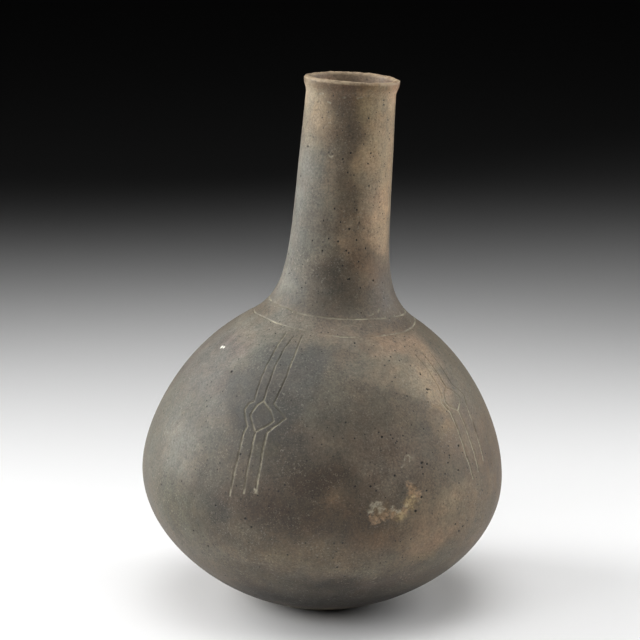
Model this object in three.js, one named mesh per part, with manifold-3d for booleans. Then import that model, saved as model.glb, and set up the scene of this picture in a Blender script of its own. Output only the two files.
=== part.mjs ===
// A hand-built pottery bottle: a wide, low-slung round belly, a slender neck with a small rolled-out
// lip, and fine engraved lines. Two lines ring the root of the neck. Four panels hang below them down
// the shoulder, each of three lines that open round a small diamond.
// The pot is one hollow piece of fired clay. It leans a little, as it slumped in the making, and rests
// on the spot where its rounded base is worn flat.
// Millimetres, +Z up. The origin is the centre of the worn foot. -Y is the side with the sharpest panel.

import * as THREE from "three";
import { mergeVertices } from "three/addons/utils/BufferGeometryUtils.js";
import Module from "manifold-3d";

// Outline of the outer wall, from the base up. Heights are steps, each counted from the one before.
const BASE_DOME_DEPTH = 5; // how far the rounded base bulges below its edge
const BASE_EDGE_RADIUS = 29; // where the rounded base turns into the belly
const BASE_EDGE_SLOPE = 18.6; // degrees above level there
const BELLY_RISE = 60.4; // from the base's edge to the widest part
const BELLY_RADIUS = 85.9;
const SHOULDER_RISE = 74.8; // from the widest part to the root of the neck
const NECK_ROOT_RADIUS = 40.4;
const SHOULDER_SLOPE = 31.9; // degrees below level at the neck's root
const NECK_FLARE_RISE = 52.4; // the hollow curve from the root to the straight neck
const NECK_RADIUS = 22.6;
const NECK_RISE = 54.6; // the straight, slightly tapering neck
const THROAT_RADIUS = 20.8; // the narrowest place, just under the lip
const LIP_RISE = 6.7;
const LIP_RADIUS = 22.2;

// How full each curve of the outline is where it leaves and where it arrives: the lengths of its
// handles, as shares of the chord that it spans.
const BASE_CURVE = { leave: 0.35, arrive: 0.35 };
const BELLY_CURVE = { leave: 0.42, arrive: 0.3 };
const SHOULDER_CURVE = { leave: 0.23, arrive: 0.43 };
const NECK_CURVE = { leave: 0.31, arrive: 0.57 };
const LIP_CURVE = { leave: 0.3, arrive: 0.4 };

// Thickness of the clay.
const BASE_WALL = 9;
const BELLY_WALL = 6;
const NECK_WALL = 4.6;
const LIP_WALL = 2.8;

// The slump: the line through the sections' centres leans towards +X, and the sections tip less.
const AXIS_LEAN = 4.2; // degrees
const SECTION_TIP = 3.5; // degrees
const FOOT_WEAR = 3; // how much of the rounded base is worn away flat
const BELLY_FLATTENING = 1; // the belly is this much shallower front to back than side to side
const LIP_WAVE = 0.25; // the rim's rise and fall
const LIP_WAVE_TURN = 107; // degrees from one of its high places to +X

// Engraving.
const LINE_WIDTH = 1.1;
const LINE_DEPTH = 0.55;
const UPPER_RING_ABOVE_ROOT = 6.8;
const UPPER_RING_TIP = 1.3; // the ring runs this much higher on the -X side
const LOWER_RING_ABOVE_ROOT = 1.2;
const LOWER_RING_TIP = 0.6;
const LEFT_LINE_GAP = 4.6; // from a panel's middle line to the line on its left
const RIGHT_LINE_GAP = 5.5;
const DIAMOND_LEFT = 4.6; // from the middle line to the diamond's left corner
const DIAMOND_RIGHT = 7;
const DIAMOND_HALF_HEIGHT = 6.2;
const LEFT_HOOK_GAP = 3.3; // between the diamond's left corner and the line that hooks round it
const RIGHT_HOOK_GAP = 5;
const LINE_END_STEP = 2.4; // each line ends this much higher than the one on its left

// Each panel: where its middle line starts, how far that turns on its way down to the belly, where
// the lines start and the diamond sits below the neck's root, and where they end above the belly.
const PANELS = [
  { azimuth: -116.3, turn: 1.7, start: 1.4, diamond: 33, end: 9 },
  { azimuth: -35.5, turn: 3.5, start: 7.5, diamond: 26.6, end: 16.2 },
  { azimuth: 57, turn: 1, start: 3, diamond: 31, end: 12 },
  { azimuth: 150, turn: -2, start: 3.5, diamond: 30, end: 11 },
];

// Fineness of the facets.
const SEGMENTS = 48;
const STROKE_STEP = 6;
const LIP_HALF_ROUND_STEPS = 4;
const INSIDE_FINENESS = 0.6; // steps up the inside, as a share of those up the outside
const MERGE_DISTANCE = 1e-4;
const LEVEL_TOLERANCE = 1e-3;

const BELLY_HEIGHT = BASE_DOME_DEPTH + BELLY_RISE;
const ROOT_HEIGHT = BELLY_HEIGHT + SHOULDER_RISE;
const NECK_HEIGHT = ROOT_HEIGHT + NECK_FLARE_RISE;
const THROAT_HEIGHT = NECK_HEIGHT + NECK_RISE;
const RIM_HEIGHT = THROAT_HEIGHT + LIP_RISE;

const wasm = await Module();
wasm.setup();

function degrees(angle) {
  return THREE.MathUtils.degToRad(angle);
}

// A curve from one place to another, each with a point and the direction that the outline has there.
function fullCurve(from, to, fullness) {
  const chord = from.point.distanceTo(to.point);
  const first = from.point.clone().addScaledVector(from.along, chord * fullness.leave);
  const second = to.point.clone().addScaledVector(to.along, -chord * fullness.arrive);
  return new THREE.CubicBezierCurve(from.point, first, second, to.point);
}

function place(radius, height, slope) {
  const along = new THREE.Vector2(Math.cos(degrees(slope)), Math.sin(degrees(slope)));
  return { point: new THREE.Vector2(radius, height), along };
}

// The outer wall's outline as (radius, height), from the middle of the base to the outside of the lip.
function outerCurves() {
  const taper = Math.atan2(NECK_RISE, THROAT_RADIUS - NECK_RADIUS);
  const neckSlope = THREE.MathUtils.radToDeg(taper);
  const middle = place(0, 0, 0);
  const edge = place(BASE_EDGE_RADIUS, BASE_DOME_DEPTH, BASE_EDGE_SLOPE);
  const belly = place(BELLY_RADIUS, BELLY_HEIGHT, 90);
  const root = place(NECK_ROOT_RADIUS, ROOT_HEIGHT, 180 - SHOULDER_SLOPE);
  const neck = place(NECK_RADIUS, NECK_HEIGHT, neckSlope);
  const throat = place(THROAT_RADIUS, THROAT_HEIGHT, neckSlope);
  const lip = place(LIP_RADIUS, RIM_HEIGHT - LIP_WALL / 2, 90);
  return [
    { curve: fullCurve(middle, edge, BASE_CURVE), steps: 3 },
    { curve: fullCurve(edge, belly, BELLY_CURVE), steps: 8 },
    { curve: fullCurve(belly, root, SHOULDER_CURVE), steps: 9 },
    { curve: fullCurve(root, neck, NECK_CURVE), steps: 7 },
    { curve: new THREE.LineCurve(neck.point, throat.point), steps: 2 },
    { curve: fullCurve(throat, lip, LIP_CURVE), steps: 3 },
  ];
}

// Points and outward directions along the outer wall.
function outerStations(fineness) {
  const stations = [];
  for (const { curve, steps } of outerCurves()) {
    const count = Math.max(2, Math.round(steps * fineness));
    for (let i = stations.length ? 1 : 0; i <= count; i++) {
      const point = curve.getPoint(i / count);
      const along = curve.getTangent(i / count);
      stations.push({ point, out: new THREE.Vector2(along.y, -along.x) });
    }
  }
  return stations;
}

// The clay's thickness at a height: thick in the base, thinning to the lip.
function wallAt(height) {
  const steps = [
    [0, BASE_WALL],
    [BELLY_HEIGHT, BELLY_WALL],
    [NECK_HEIGHT, NECK_WALL],
    [RIM_HEIGHT, LIP_WALL],
  ];
  for (let i = 1; i < steps.length; i++) {
    const [low, lowWall] = steps[i - 1];
    const [high, highWall] = steps[i];
    if (height <= high) {
      return THREE.MathUtils.mapLinear(height, low, high, lowWall, highWall);
    }
  }
  return LIP_WALL;
}

// The closed outline: up the outside, over the rounded lip, and down the inside to the axis.
function vesselOutline() {
  const outer = outerStations(1).map(({ point }) => point);
  const inner = outerStations(INSIDE_FINENESS).map(({ point, out }) =>
    point.clone().addScaledVector(out, -wallAt(point.y)),
  );
  inner[0].x = 0;
  const lipOuter = outer[outer.length - 1];
  const lipInner = inner[inner.length - 1];
  const lipRadius = lipOuter.distanceTo(lipInner) / 2;
  const lipMiddle = lipOuter.clone().add(lipInner).divideScalar(2);
  const crest = [];
  for (let i = 1; i < LIP_HALF_ROUND_STEPS; i++) {
    const turn = (Math.PI * i) / LIP_HALF_ROUND_STEPS;
    crest.push(
      new THREE.Vector2(
        lipMiddle.x + lipRadius * Math.cos(turn),
        lipMiddle.y + lipRadius * Math.sin(turn),
      ),
    );
  }
  return [...outer, ...crest, ...inner.reverse()];
}

// The hand-made unevenness at a place on the pot: the belly's flattening and the rim's wave.
function makeUneven(point) {
  const azimuth = Math.atan2(point.y, point.x);
  const bulge = Math.exp(-(((point.z - BELLY_HEIGHT) / SHOULDER_RISE) ** 2));
  const radius = Math.hypot(point.x, point.y);
  const share = radius / BELLY_RADIUS;
  point.y -= Math.sin(azimuth) * BELLY_FLATTENING * bulge * share;
  const rim = THREE.MathUtils.smoothstep(point.z, THROAT_HEIGHT, RIM_HEIGHT);
  point.z += LIP_WAVE * rim * Math.cos(2 * (azimuth + degrees(LIP_WAVE_TURN)));
  return point;
}

// The slump, as one matrix on the upright pot: sections tip by one angle, their centres lean by another.
function slump() {
  const tip = degrees(SECTION_TIP);
  const lean = degrees(AXIS_LEAN);
  const matrix = new THREE.Matrix4();
  matrix.set(
    Math.cos(tip), 0, Math.sin(lean), 0,
    0, 1, 0, 0,
    -Math.sin(tip), 0, Math.cos(lean), 0,
    0, 0, 0, 1,
  );
  return matrix;
}

// A closed mesh as a solid that can be cut.
function toSolid(geometry) {
  const bare = geometry.clone();
  for (const name of ["normal", "uv"]) {
    bare.deleteAttribute(name);
  }
  const merged = mergeVertices(bare, MERGE_DISTANCE);
  const index = merged.index.array;
  const triangles = [];
  for (let i = 0; i < index.length; i += 3) {
    const [a, b, c] = [index[i], index[i + 1], index[i + 2]];
    if (a !== b && b !== c && c !== a) {
      triangles.push(a, b, c);
    }
  }
  return new wasm.Manifold(
    new wasm.Mesh({
      numProp: 3,
      vertProperties: Float32Array.from(merged.attributes.position.array),
      triVerts: Uint32Array.from(triangles),
    }),
  );
}

function toGeometry(solid) {
  const mesh = solid.getMesh();
  const geometry = new THREE.BufferGeometry();
  geometry.setAttribute("position", new THREE.BufferAttribute(mesh.vertProperties, 3));
  geometry.setIndex(new THREE.BufferAttribute(mesh.triVerts, 1));
  return geometry;
}

// The upright pot, still whole and unengraved.
function vessel() {
  const geometry = new THREE.LatheGeometry(vesselOutline(), SEGMENTS);
  geometry.rotateX(Math.PI / 2);
  geometry.rotateZ(Math.PI / 2);
  const position = geometry.attributes.position;
  const point = new THREE.Vector3();
  for (let i = 0; i < position.count; i++) {
    makeUneven(point.fromBufferAttribute(position, i));
    position.setXYZ(i, point.x, point.y, point.z);
  }
  return toSolid(geometry);
}

// The outer wall's radius at a height, read off the same facets as the pot's.
const wallStations = outerStations(1).map(({ point }) => point);
function radiusAt(height) {
  for (let i = 1; i < wallStations.length; i++) {
    const [low, high] = [wallStations[i - 1], wallStations[i]];
    if (height <= high.y) {
      return THREE.MathUtils.mapLinear(height, low.y, high.y, low.x, high.x);
    }
  }
  return LIP_RADIUS;
}

// A point on the faceted outer wall, at an azimuth in degrees and a height.
function wallPoint(azimuth, height) {
  const facet = 360 / SEGMENTS;
  const start = Math.floor(azimuth / facet) * facet;
  const radius = radiusAt(height);
  const corner = (angle) =>
    makeUneven(
      new THREE.Vector3(
        radius * Math.cos(degrees(angle)),
        radius * Math.sin(degrees(angle)),
        height,
      ),
    );
  return corner(start).lerp(corner(start + facet), (azimuth - start) / facet);
}

function wallNormal(azimuth, height) {
  const reach = 1; // degrees one way and millimetres the other
  const east = wallPoint(azimuth + reach, height).sub(wallPoint(azimuth - reach, height));
  const up = wallPoint(azimuth, height + reach).sub(wallPoint(azimuth, height - reach));
  return east.cross(up).normalize();
}

// A V-shaped groove along places on the wall, each an azimuth and a height, as a closed mesh to cut
// away. It runs round and closes on itself where asked.
function groove(places, closed) {
  const points = places.map(([azimuth, height]) => wallPoint(azimuth, height));
  const normals = places.map(([azimuth, height]) => wallNormal(azimuth, height));
  const lift = LINE_DEPTH; // the mesh stands this far out of the wall, and widens on at the same slope
  const halfTop = LINE_WIDTH;
  const last = points.length - 1;
  const positions = [];
  points.forEach((point, i) => {
    const before = closed ? points[(i + last) % points.length] : points[Math.max(i - 1, 0)];
    const after = closed ? points[(i + 1) % points.length] : points[Math.min(i + 1, last)];
    const side = after.clone().sub(before).cross(normals[i]).normalize();
    const top = point.clone().addScaledVector(normals[i], lift);
    const corners = [
      top.clone().addScaledVector(side, halfTop),
      top.clone().addScaledVector(side, -halfTop),
      point.clone().addScaledVector(normals[i], -LINE_DEPTH),
    ];
    corners.forEach((corner) => positions.push(...corner.toArray()));
  });
  const triangles = [];
  const spans = closed ? points.length : last;
  for (let i = 0; i < spans; i++) {
    const here = 3 * i;
    const next = 3 * ((i + 1) % points.length);
    for (let j = 0; j < 3; j++) {
      const k = (j + 1) % 3;
      triangles.push(here + j, next + j, here + k, next + j, next + k, here + k);
    }
  }
  if (!closed) {
    triangles.push(0, 1, 2, 3 * last, 3 * last + 2, 3 * last + 1);
  }
  const geometry = new THREE.BufferGeometry();
  geometry.setAttribute("position", new THREE.Float32BufferAttribute(positions, 3));
  geometry.setIndex(triangles);
  return toSolid(geometry);
}

// A ring round the root of the neck, a little higher on one side.
function ring(height, tip) {
  const places = [];
  for (let i = 0; i < SEGMENTS; i++) {
    const azimuth = (360 * i) / SEGMENTS;
    places.push([azimuth, height - tip * Math.cos(degrees(azimuth))]);
  }
  return groove(places, true);
}

// One straight stroke of a panel, between two places given as millimetres across from the panel's
// middle line and a height.
function stroke(panel, [fromAcross, fromHeight], [toAcross, toHeight]) {
  const length = Math.hypot(toAcross - fromAcross, toHeight - fromHeight);
  const steps = Math.max(1, Math.round(length / STROKE_STEP));
  const places = [];
  for (let i = 0; i <= steps; i++) {
    const height = THREE.MathUtils.lerp(fromHeight, toHeight, i / steps);
    const across = THREE.MathUtils.lerp(fromAcross, toAcross, i / steps);
    const drop = (ROOT_HEIGHT - height) / SHOULDER_RISE;
    const azimuth = panel.azimuth + THREE.MathUtils.radToDeg(across / radiusAt(height));
    places.push([azimuth + panel.turn * drop, height]);
  }
  return groove(places, false);
}

// A panel's lines, each a chain of corners: two side lines that step out round the diamond, the
// middle line above and below it, and the diamond itself.
function panelLines(panel) {
  const top = ROOT_HEIGHT - panel.start;
  const bottom = BELLY_HEIGHT + panel.end;
  const middle = ROOT_HEIGHT - panel.diamond;
  const high = middle + DIAMOND_HALF_HEIGHT;
  const low = middle - DIAMOND_HALF_HEIGHT;
  const left = -DIAMOND_LEFT;
  const right = DIAMOND_RIGHT;
  const sideLine = (gap, corner, end) => [[gap, top], [gap, high], [corner, middle], [gap, low], [gap, end]];
  return [
    sideLine(-LEFT_LINE_GAP, left - LEFT_HOOK_GAP, bottom - LINE_END_STEP),
    sideLine(RIGHT_LINE_GAP, right + RIGHT_HOOK_GAP, bottom + LINE_END_STEP),
    [[0, top], [0, high]],
    [[0, low], [0, bottom]],
    [[0, high], [left, middle], [0, low], [right, middle], [0, high]],
  ];
}

function engraving() {
  const grooves = [
    ring(ROOT_HEIGHT + UPPER_RING_ABOVE_ROOT, UPPER_RING_TIP),
    ring(ROOT_HEIGHT + LOWER_RING_ABOVE_ROOT, LOWER_RING_TIP),
  ];
  for (const panel of PANELS) {
    for (const line of panelLines(panel)) {
      for (let i = 1; i < line.length; i++) {
        grooves.push(stroke(panel, line[i - 1], line[i]));
      }
    }
  }
  return grooves.reduce((all, next) => all.add(next));
}

// Wears the base flat and puts the middle of the flat at the origin.
function wearFoot(solid) {
  const floor = solid.boundingBox().min[2] + FOOT_WEAR;
  const side = 4 * BELLY_RADIUS;
  const block = new THREE.BoxGeometry(side, side, side);
  block.translate(0, 0, floor - side / 2);
  const worn = solid.subtract(toSolid(block));
  const { vertProperties } = worn.getMesh();
  const foot = new THREE.Box2();
  for (let i = 0; i < vertProperties.length; i += 3) {
    if (Math.abs(vertProperties[i + 2] - floor) < LEVEL_TOLERANCE) {
      foot.expandByPoint(new THREE.Vector2(vertProperties[i], vertProperties[i + 1]));
    }
  }
  const middle = foot.getCenter(new THREE.Vector2());
  return worn.translate([-middle.x, -middle.y, -floor]);
}

function bottle() {
  const engraved = vessel().subtract(engraving());
  const slumped = toSolid(toGeometry(engraved).applyMatrix4(slump()));
  const clay = new THREE.MeshStandardMaterial({ color: 0x6e6659, roughness: 0.6, metalness: 0 });
  const mesh = new THREE.Mesh(toGeometry(wearFoot(slumped)), clay);
  mesh.name = "bottle";
  return mesh;
}

const group = new THREE.Group();
group.add(bottle());

export default group;
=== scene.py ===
# %% [markdown]
# # A burnished and engraved pottery bottle
#
# The pot is one piece of fired clay, built up from coils, scraped thin, rubbed smooth with a pebble
# and fired in an open fire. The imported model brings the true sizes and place. This script gives the
# pot its fine surface: the hair-thin engraving, the pits, the worn lip and the colours of the fire.
# Whatever is uneven on it comes from noise with a fixed seed, so that each run gives the same pot.

import math
import random
from bisect import bisect_right

import bmesh
import bpy
from mathutils import Euler, Matrix, Vector, geometry, kdtree, noise


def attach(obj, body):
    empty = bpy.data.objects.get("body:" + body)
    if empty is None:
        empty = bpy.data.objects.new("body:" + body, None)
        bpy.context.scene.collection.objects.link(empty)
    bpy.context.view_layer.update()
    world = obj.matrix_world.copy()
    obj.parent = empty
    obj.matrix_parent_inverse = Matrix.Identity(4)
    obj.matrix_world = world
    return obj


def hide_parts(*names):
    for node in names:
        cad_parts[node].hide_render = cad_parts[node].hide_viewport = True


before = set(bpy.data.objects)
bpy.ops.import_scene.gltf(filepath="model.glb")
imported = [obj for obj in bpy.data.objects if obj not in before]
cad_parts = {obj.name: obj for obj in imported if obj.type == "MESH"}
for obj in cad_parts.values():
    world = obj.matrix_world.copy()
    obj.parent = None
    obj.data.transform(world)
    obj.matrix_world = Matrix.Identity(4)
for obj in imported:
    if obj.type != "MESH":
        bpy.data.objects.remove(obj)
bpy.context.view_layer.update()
MM = 0.001
NOISE_SEED = 7  # without one, Blender's noise vectors start from the clock
noise.seed_set(NOISE_SEED)

# %% [markdown]
# ## The outline
#
# A turned or coil-built pot is a body of revolution first and a hand-made thing second, so it starts
# as half of a cross section. The outside is a chain of curves through the places where the shape
# changes: the middle of the base, its edge, the belly, the root of the neck, the neck, the throat and
# the lip. Radii and heights are in millimetres until the shape is finished. The inside is the same
# line, moved inwards by the thickness of the clay.

# %% Sizes of the outline
BASE_DOME_DEPTH = 5
BASE_EDGE_RADIUS = 29
BASE_EDGE_SLOPE = 18.6
BELLY_RADIUS = 85.9
BELLY_HEIGHT = BASE_DOME_DEPTH + 60.4
NECK_ROOT_RADIUS = 40.4
ROOT_HEIGHT = BELLY_HEIGHT + 74.8
SHOULDER_SLOPE = 31.9
NECK_RADIUS = 22.6
NECK_HEIGHT = ROOT_HEIGHT + 52.4
THROAT_RADIUS = 20.8
THROAT_HEIGHT = NECK_HEIGHT + 54.6
LIP_RADIUS = 22.2
RIM_HEIGHT = THROAT_HEIGHT + 6.7
BASE_WALL, BELLY_WALL, NECK_WALL, LIP_WALL = 9, 6, 4.6, 2.8
OUTSIDE_STEP = 2.3  # between the rows of the mesh, up the outside
INSIDE_STEP = 7
LIP_STEPS = 8


def along(slope):
    """The direction of a slope, in degrees: 0 is outwards and 90 is up."""
    return Vector((math.cos(math.radians(slope)), math.sin(math.radians(slope))))


def curve(start, start_slope, leave, end, end_slope, arrive):
    """A curve's four handles. leave and arrive are the handles' lengths as shares of the chord."""
    start, end = Vector(start), Vector(end)
    chord = (end - start).length
    return start, start + along(start_slope) * chord * leave, end - along(end_slope) * chord * arrive, end


TAPER = math.degrees(math.atan2(THROAT_HEIGHT - NECK_HEIGHT, THROAT_RADIUS - NECK_RADIUS))
EDGE = (BASE_EDGE_RADIUS, BASE_DOME_DEPTH)
BELLY = (BELLY_RADIUS, BELLY_HEIGHT)
ROOT = (NECK_ROOT_RADIUS, ROOT_HEIGHT)
NECK = (NECK_RADIUS, NECK_HEIGHT)
THROAT = (THROAT_RADIUS, THROAT_HEIGHT)
LIP = (LIP_RADIUS, RIM_HEIGHT - LIP_WALL / 2)
OUTLINE = [
    curve((0, 0), 0, 0.35, EDGE, BASE_EDGE_SLOPE, 0.35),
    curve(EDGE, BASE_EDGE_SLOPE, 0.42, BELLY, 90, 0.3),
    curve(BELLY, 90, 0.23, ROOT, 180 - SHOULDER_SLOPE, 0.43),
    curve(ROOT, 180 - SHOULDER_SLOPE, 0.31, NECK, TAPER, 0.57),
    curve(NECK, TAPER, 0.33, THROAT, TAPER, 0.33),
    curve(THROAT, TAPER, 0.3, LIP, 90, 0.4),
]


def outline(step):
    """Points up the outside, about a step apart."""
    points = []
    for handles in OUTLINE:
        count = max(3, math.ceil((handles[3] - handles[0]).length / step) + 1)
        stretch = geometry.interpolate_bezier(*handles, count)
        points += stretch[1:] if points else stretch
    return [Vector((point.x, point.y)) for point in points]


def wall_at(height):
    """The thickness of the clay: thick in the base, thinning to the lip."""
    heights = [0, BELLY_HEIGHT, NECK_HEIGHT, RIM_HEIGHT]
    walls = [BASE_WALL, BELLY_WALL, NECK_WALL, LIP_WALL]
    height = min(max(height, 0), RIM_HEIGHT - 1e-6)
    i = bisect_right(heights, height)
    share = (height - heights[i - 1]) / (heights[i] - heights[i - 1])
    return walls[i - 1] + (walls[i] - walls[i - 1]) * share


def inwards(points):
    """The same line, moved inwards by the wall's thickness."""
    moved = []
    for i, point in enumerate(points):
        run = (points[min(i + 1, len(points) - 1)] - points[max(i - 1, 0)]).normalized()
        moved.append(point + Vector((-run.y, run.x)) * wall_at(point.y))
    moved[0].x = 0
    return moved


outside = outline(OUTSIDE_STEP)
inside = inwards(outline(INSIDE_STEP))
lip_middle = (outside[-1] + inside[-1]) / 2
lip_half = (outside[-1] - inside[-1]).length / 2
crest = [lip_middle + along(180 * i / LIP_STEPS) * lip_half for i in range(1, LIP_STEPS)]
section = outside + crest + inside[::-1]
print("section:", len(section), "points,", len(outside), "of them up the outside")

# %% [markdown]
# ## Turning the pot
#
# The section becomes a chain of vertices and edges, and one spin about the axis turns it into the
# vessel. The first and last points lie on the axis, so their copies are merged into single poles.
# Then the normals are made to face outwards, because a spin may turn a shape inside out.

# %% Spin the section
SEGMENTS = 180

pot = bmesh.new()
chain = [pot.verts.new((point.x, 0, point.y)) for point in section]
for low, high in zip(chain, chain[1:]):
    pot.edges.new((low, high))
bmesh.ops.spin(
    pot,
    geom=pot.verts[:] + pot.edges[:],
    cent=(0, 0, 0),
    axis=(0, 0, 1),
    angle=math.tau,
    steps=SEGMENTS,
    use_merge=True,
)
bmesh.ops.remove_doubles(pot, verts=pot.verts, dist=0.001)
bmesh.ops.recalc_face_normals(pot, faces=pot.faces)
print("turned:", len(pot.verts), "vertices,", len(pot.faces), "faces")

# %% [markdown]
# ## A place on the wall
#
# Everything drawn on the pot is placed by an azimuth in degrees, seen from above with 0 at the right
# and -90 at the front, and by a height. A small table of the outline gives the radius there.

# %% Find places on the wall
fine_outline = outline(0.4)
fine_heights = [point.y for point in fine_outline]


def radius_at(height):
    """The radius of the outer wall, between two points of the table."""
    i = min(max(bisect_right(fine_heights, height), 1), len(fine_outline) - 1)
    low, high = fine_outline[i - 1], fine_outline[i]
    share = (height - low.y) / (high.y - low.y)
    return low.x + (high.x - low.x) * min(max(share, 0), 1)


def on_wall(azimuth, height):
    """The point of the outer wall at an azimuth and a height."""
    turn = math.radians(azimuth)
    radius = radius_at(height)
    return Vector((radius * math.cos(turn), radius * math.sin(turn), height))


def outward(point):
    """The direction straight out of the wall at a point near it."""
    rise = 0.5
    slope = (radius_at(point.z + rise) - radius_at(point.z - rise)) / (2 * rise)
    turn = math.atan2(point.y, point.x)
    return Vector((math.cos(turn), math.sin(turn), -slope)).normalized()


print("radius at the neck's root:", round(radius_at(ROOT_HEIGHT), 1), "mm")


# %% [markdown]
# ## The engraved lines
#
# The lines were scored with a flint point once the clay was dry, so they are thin, shallow and a
# little shaky, and pale dust lies here and there in them. Two lines ring the root of the neck. Panels
# of three lines run down from them, and open round a diamond. A texture could draw them flat, but cut
# lines catch the light, so they are cut. Each stroke is a short list of places: an azimuth, and how
# far below the neck's root it is. Two panels are drawn one by one, and the two on the back repeat
# them. A few stray scratches are drawn in the same way.

# %% Draw the strokes
STROKE_STEP = 0.25
LINE_HALF_WIDTH = 0.48
LINE_DEPTH = 0.5
DUST_HALF_WIDTH = 0.55
LINE_SHAKE = 0.22
RING_CLEARNESS = 0.6
UPPER_RING_DUST = 1.1
LOWER_RING_DUST = 0.6
SCRATCH_CLEARNESS = 0.5
SCRATCH_DUST = 1.6
PANEL_BLEND = 8  # the height over which a panel's clearness changes, at its diamond

FRONT_PANEL = {
    "left": [
        (-121.9, 0.6), (-121.8, 6), (-121.2, 13), (-120.5, 20.6), (-119.4, 27.6), (-121.4, 29),
        (-122.1, 31.5), (-120.1, 35.6), (-118.8, 37.8), (-119.3, 41), (-119, 53), (-119.4, 68.6),
    ],
    "middle above": [(-115.6, 1.6), (-117, 5.2), (-116.8, 13), (-116.2, 22), (-115.8, 26.8)],
    "diamond left": [(-115.8, 26.8), (-117.8, 28.7), (-119.1, 33), (-117.4, 36), (-115.2, 39.6)],
    "diamond right": [(-115.8, 26.8), (-112, 30), (-109.7, 33.9), (-113.2, 37.8), (-115.2, 39.6)],
    "middle below": [(-115.2, 39.6), (-115, 47), (-114.8, 66)],
    "right": [
        (-110.4, 0.8), (-109.8, 8), (-110, 16.7), (-111.4, 27.2), (-108.6, 29.6), (-105.5, 32.3),
        (-107.8, 34.8), (-111, 39), (-111.1, 46), (-110.8, 53), (-111, 63.8),
    ],
}
RIGHT_PANEL = {
    "left": [
        (-42.2, 7.5), (-40.3, 13.6), (-39.8, 21), (-40.4, 24.5), (-41.9, 26.6), (-40.9, 28.8),
        (-39.3, 31), (-38.3, 41), (-37.8, 49), (-35.8, 61),
    ],
    "middle above": [(-36, 8), (-35.2, 16), (-35, 21.5)],
    "diamond left": [(-35, 21.5), (-38, 23), (-39.8, 26.6), (-38.6, 28.9), (-34.2, 31.2)],
    "diamond right": [(-35, 21.5), (-31.5, 23.5), (-29, 26.8), (-31, 29), (-34.2, 31.2)],
    "middle below": [(-34.2, 31.2), (-33.7, 36.5), (-33, 48), (-32, 59)],
    "right": [
        (-29.5, 8), (-29.6, 14), (-29.8, 21), (-27, 24), (-25, 26.6), (-26.9, 30.2), (-27.5, 34.8),
        (-27.8, 44), (-27.7, 55),
    ],
}
# Each panel's turn and drop, how clear it is above and below its diamond, and how dusty it is there.
PANELS = [
    (FRONT_PANEL, 0, 0, 0.9, 0.95, 0.4, 0.6),
    (RIGHT_PANEL, 0, 0, 0.6, 1, 0.05, 1.8),
    (FRONT_PANEL, 172.5, -2, 0.7, 0.8, 0.4, 0.6),
    (RIGHT_PANEL, 185, 3.5, 0.75, 0.85, 0.4, 0.6),
]
# Short pale scratches that a knock or a tool left.
SCRATCHES = [
    [(-64.1, 47.5), (-63.6, 46), (-62.4, 45.6), (-61.8, 46.8), (-62.3, 48.6)],
    [(-64, 49), (-65.6, 50.6)],
    [(-134, -107.3), (-128, -107.7)],
    [(-121, -104), (-116, -103.6)],
    [(-101, -106.7), (-97, -106.9)],
    [(-82, -106.6), (-76, -107.2)],
    [(-113, -80), (-110, -79.3), (-107, -80)],
    [(168, -7.6), (176, -9.4)],
    [(172, -5.6), (-176, -7.2), (-168, -8.8)],
    [(-50, -9.2), (-47, -10.4)],
    [(-60, -8), (-55, -8.6)],
]
UPPER_RING = [(-180, 8.2), (-140, 8.1), (-115, 6.9), (-66, 6.7), (-43, 6.2), (-10, 5.4), (10, 6), (90, 6.8)]
LOWER_RING = [(-180, 1.6), (-150, 2.1), (-115, 1.3), (-84, 0.1), (-40, 0.3), (0, 1.3), (90, 1.6)]


def chain_of(places):
    """Points along the wall through places (azimuth, drop below the neck's root)."""
    points = []
    for (azimuth, drop), (next_azimuth, next_drop) in zip(places, places[1:]):
        start, end = on_wall(azimuth, ROOT_HEIGHT - drop), on_wall(next_azimuth, ROOT_HEIGHT - next_drop)
        count = max(1, round((end - start).length / STROKE_STEP))
        for i in range(count):
            share = i / count
            turn = azimuth + (next_azimuth - azimuth) * share
            points.append(on_wall(turn, ROOT_HEIGHT - drop - (next_drop - drop) * share))
    return points


def ring_of(rises):
    """A closed line round the neck's root, through places (azimuth, rise above the root)."""
    closed = rises + [(rises[0][0] + 360, rises[0][1])]
    places = []
    for (azimuth, rise), (next_azimuth, next_rise) in zip(closed, closed[1:]):
        steps = max(1, round((next_azimuth - azimuth) / 5))
        for i in range(steps):
            ease = (1 - math.cos(math.pi * i / steps)) / 2
            places.append((azimuth + (next_azimuth - azimuth) * i / steps, -rise - (next_rise - rise) * ease))
    return chain_of(places + [(places[0][0] + 360, places[0][1])])


def shaken(points, seed):
    """The same points, with the small slips of a hand."""
    offset = Vector((seed * 17.3, seed * 5.1, 0))
    return [point + noise.noise_vector(point / 4 + offset) * LINE_SHAKE for point in points]


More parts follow.
